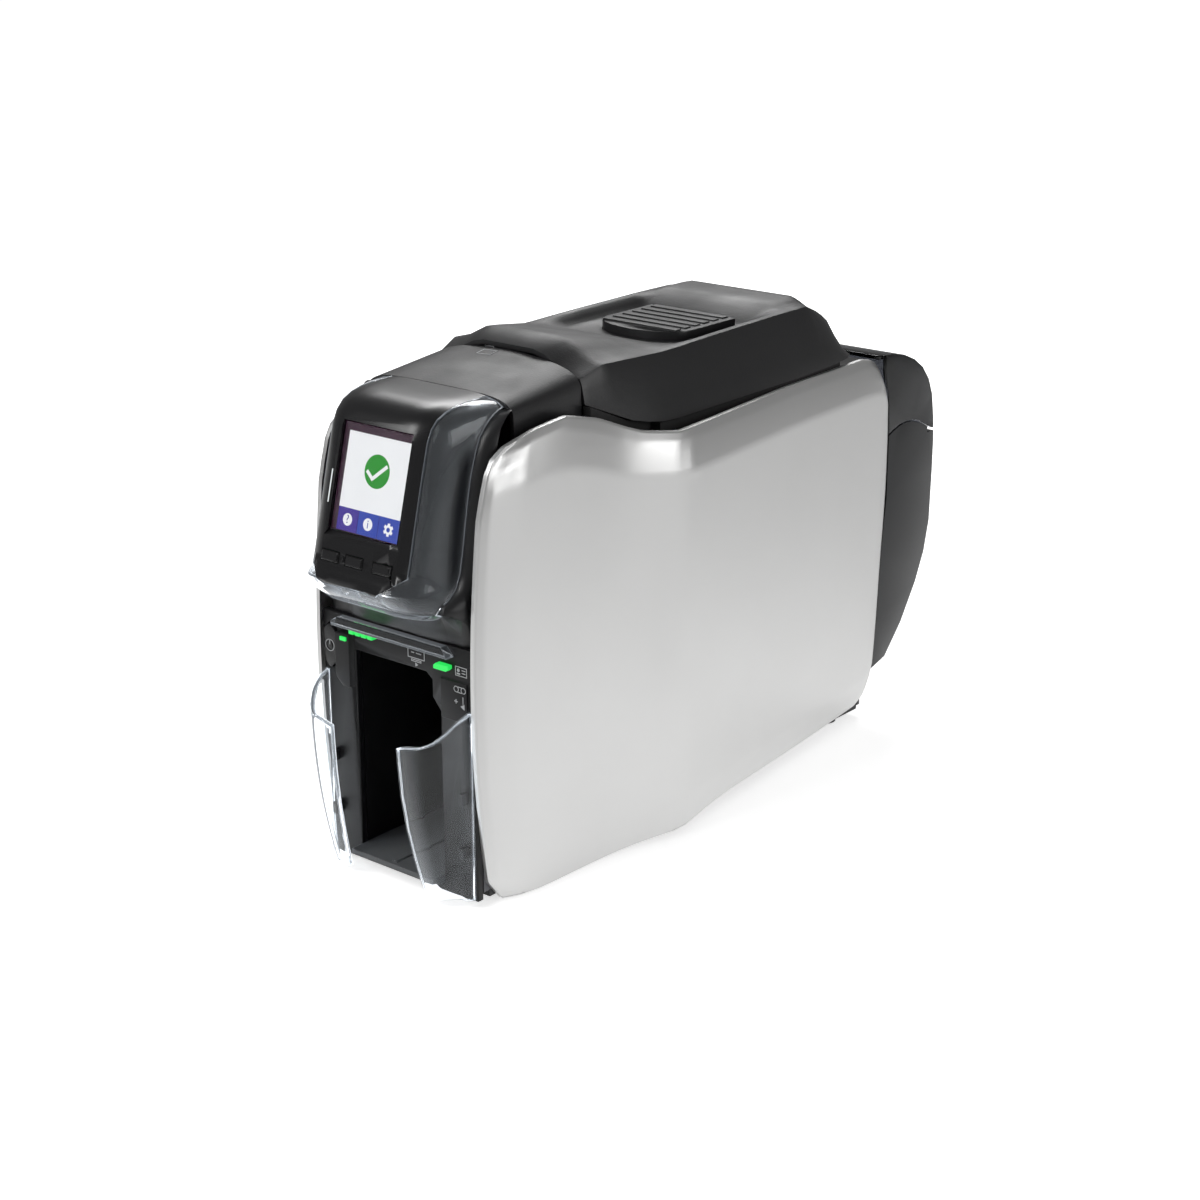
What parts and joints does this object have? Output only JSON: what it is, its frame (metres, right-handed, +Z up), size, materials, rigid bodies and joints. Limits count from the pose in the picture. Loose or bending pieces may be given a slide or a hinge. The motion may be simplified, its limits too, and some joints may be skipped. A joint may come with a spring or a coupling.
{
  "type": "id card printer",
  "caption": "Slim desktop plastic card printer with hinged top cover, tilted colour display, clear front output hopper and covered rear card feeder.",
  "frame": {"origin": "centre of the bounding box at the floor, under the feet", "axes": "+X to the right seen from the front, -Y the front with the display, +Z up"},
  "size_m": [0.1538, 0.4188, 0.26],
  "materials": {
    "silver_panel": "satin",
    "black_housing": "fine grain",
    "black_lid": "fine grain",
    "smoked_hopper": "gloss",
    "dark_liner": "matte",
    "grey_plate": "matte",
    "base_plastic": "matte",
    "black_rubber": "matte",
    "painted_plate": "satin",
    "clear_plastic": "clear",
    "green_led": "lit",
    "gloss_bezel": "satin",
    "screen_backlight": "lit",
    "screen_glass": "clear",
    "circuit_board": "matte",
    "bright_steel": "brushed",
    "fin_aluminium": "plain",
    "roller_rubber": "matte",
    "motor_steel": "brushed",
    "gear_plastic": "matte",
    "pinion_brass": "plain",
    "inlet_plastic": "matte"
  },
  "bodies": {
    "chassis": {"base_frame": "base_plastic", "rubber_feet": "black_rubber", "left_frame": "painted_plate", "right_frame": "painted_plate", "left_side_panel": "silver_panel", "right_side_panel": "silver_panel", "bay_surround": "dark_liner", "lid_gasket": "black_rubber", "front_fascia": "black_housing", "output_chute": "dark_liner", "hopper_floor": "grey_plate", "output_wing_left": "clear_plastic", "output_wing_right": "clear_plastic", "hopper_clips": "dark_liner", "light_pipe": "clear_plastic", "status_leds": "green_led", "display_frame": "black_housing", "display_bezel": "gloss_bezel", "display_hood": "clear_plastic", "lcd_module": "screen_backlight", "lcd_glass": "screen_glass", "display_board": "circuit_board", "front_top_cover": "black_housing", "lid_hinge_pin": "bright_steel", "card_guides": "dark_liner", "drive_motor": "motor_steel", "drive_belt": "black_rubber", "main_board": "circuit_board", "power_supply": "bright_steel", "rear_panel": "black_housing", "power_inlet": "inlet_plastic", "data_ports": "motor_steel", "input_magazine": "dark_liner", "rear_hopper_body": "smoked_hopper", "door_hinge_pin": "bright_steel", "case_screws": "bright_steel"},
    "lid": {"lid_shell": "black_lid", "lid_liner": "dark_liner", "latch_hooks": "dark_liner", "print_head": "bright_steel", "head_bracket": "bright_steel", "head_heat_sink": "fin_aluminium"},
    "latch_button": {"latch_button": "black_lid"},
    "hopper_door": {"hopper_door": "smoked_hopper"},
    "card_weight": {"card_weight": "dark_liner"},
    "key_left": {"key_left": "gloss_bezel"},
    "key_middle": {"key_middle": "gloss_bezel"},
    "key_right": {"key_right": "gloss_bezel"},
    "power_button": {"power_button": "gloss_bezel"},
    "platen_roller": {"platen_roller": "roller_rubber", "drive_gear": "gear_plastic"},
    "entry_roller": {"entry_roller": "roller_rubber"},
    "exit_roller": {"exit_roller": "roller_rubber"},
    "cleaning_roller": {"cleaning_roller": "roller_rubber"},
    "motor_pinion": {"motor_pinion": "pinion_brass"},
    "supply_spindle": {"supply_spindle": "gear_plastic"},
    "takeup_spindle": {"takeup_spindle": "gear_plastic"}
  },
  "joints": [
    {"name": "lid_hinge", "type": "hinge", "parent": "chassis", "child": "lid", "pos_m": [0, 0.1232, 0.216], "axis": [-1, 0, 0], "range_deg": [0, 78]},
    {"name": "latch_press", "type": "slide", "parent": "lid", "child": "latch_button", "axis": [0, 0, -1], "range_m": [0, 0.0025], "stiffness_N_per_m": 400, "springref_m": -0.001},
    {"name": "door_hinge", "type": "hinge", "parent": "chassis", "child": "hopper_door", "pos_m": [0, 0.2072, 0.157], "axis": [-1, 0, 0], "range_deg": [0, 75]},
    {"name": "weight_slide", "type": "slide", "parent": "chassis", "child": "card_weight", "axis": [0, 0, 1], "range_m": [0, 0.07]},
    {"name": "key_left_press", "type": "slide", "parent": "chassis", "child": "key_left", "axis": [0, 0.9681, -0.2507], "range_m": [0, 0.0008], "stiffness_N_per_m": 300, "springref_m": -0.0005},
    {"name": "key_middle_press", "type": "slide", "parent": "chassis", "child": "key_middle", "axis": [0, 0.9681, -0.2507], "range_m": [0, 0.0008], "stiffness_N_per_m": 300, "springref_m": -0.0005},
    {"name": "key_right_press", "type": "slide", "parent": "chassis", "child": "key_right", "axis": [0, 0.9681, -0.2507], "range_m": [0, 0.0008], "stiffness_N_per_m": 300, "springref_m": -0.0005},
    {"name": "power_press", "type": "slide", "parent": "chassis", "child": "power_button", "axis": [0, 1, 0], "range_m": [0, 0.001], "stiffness_N_per_m": 300, "springref_m": -0.0005},
    {"name": "platen_spin", "type": "hinge", "parent": "chassis", "child": "platen_roller", "pos_m": [0, -0.0028, 0.098], "axis": [1, 0, 0], "continuous": true},
    {"name": "entry_spin", "type": "hinge", "parent": "chassis", "child": "entry_roller", "pos_m": [0, 0.1182, 0.098], "axis": [1, 0, 0], "continuous": true},
    {"name": "exit_spin", "type": "hinge", "parent": "chassis", "child": "exit_roller", "pos_m": [0, -0.0778, 0.098], "axis": [1, 0, 0], "continuous": true},
    {"name": "cleaning_spin", "type": "hinge", "parent": "chassis", "child": "cleaning_roller", "pos_m": [0, 0.0642, 0.098], "axis": [1, 0, 0], "continuous": true},
    {"name": "pinion_spin", "type": "hinge", "parent": "chassis", "child": "motor_pinion", "pos_m": [0, 0.0116, 0.0788], "axis": [1, 0, 0], "continuous": true},
    {"name": "supply_spin", "type": "hinge", "parent": "chassis", "child": "supply_spindle", "pos_m": [0, 0.0662, 0.15], "axis": [1, 0, 0], "continuous": true},
    {"name": "takeup_spin", "type": "hinge", "parent": "chassis", "child": "takeup_spindle", "pos_m": [0, -0.0538, 0.15], "axis": [1, 0, 0], "continuous": true}
  ],
  "couplings": [
    {"joint": "pinion_spin", "follows": "platen_spin", "ratio": -3},
    {"joint": "entry_spin", "follows": "platen_spin", "ratio": 1},
    {"joint": "exit_spin", "follows": "platen_spin", "ratio": 1}
  ]
}
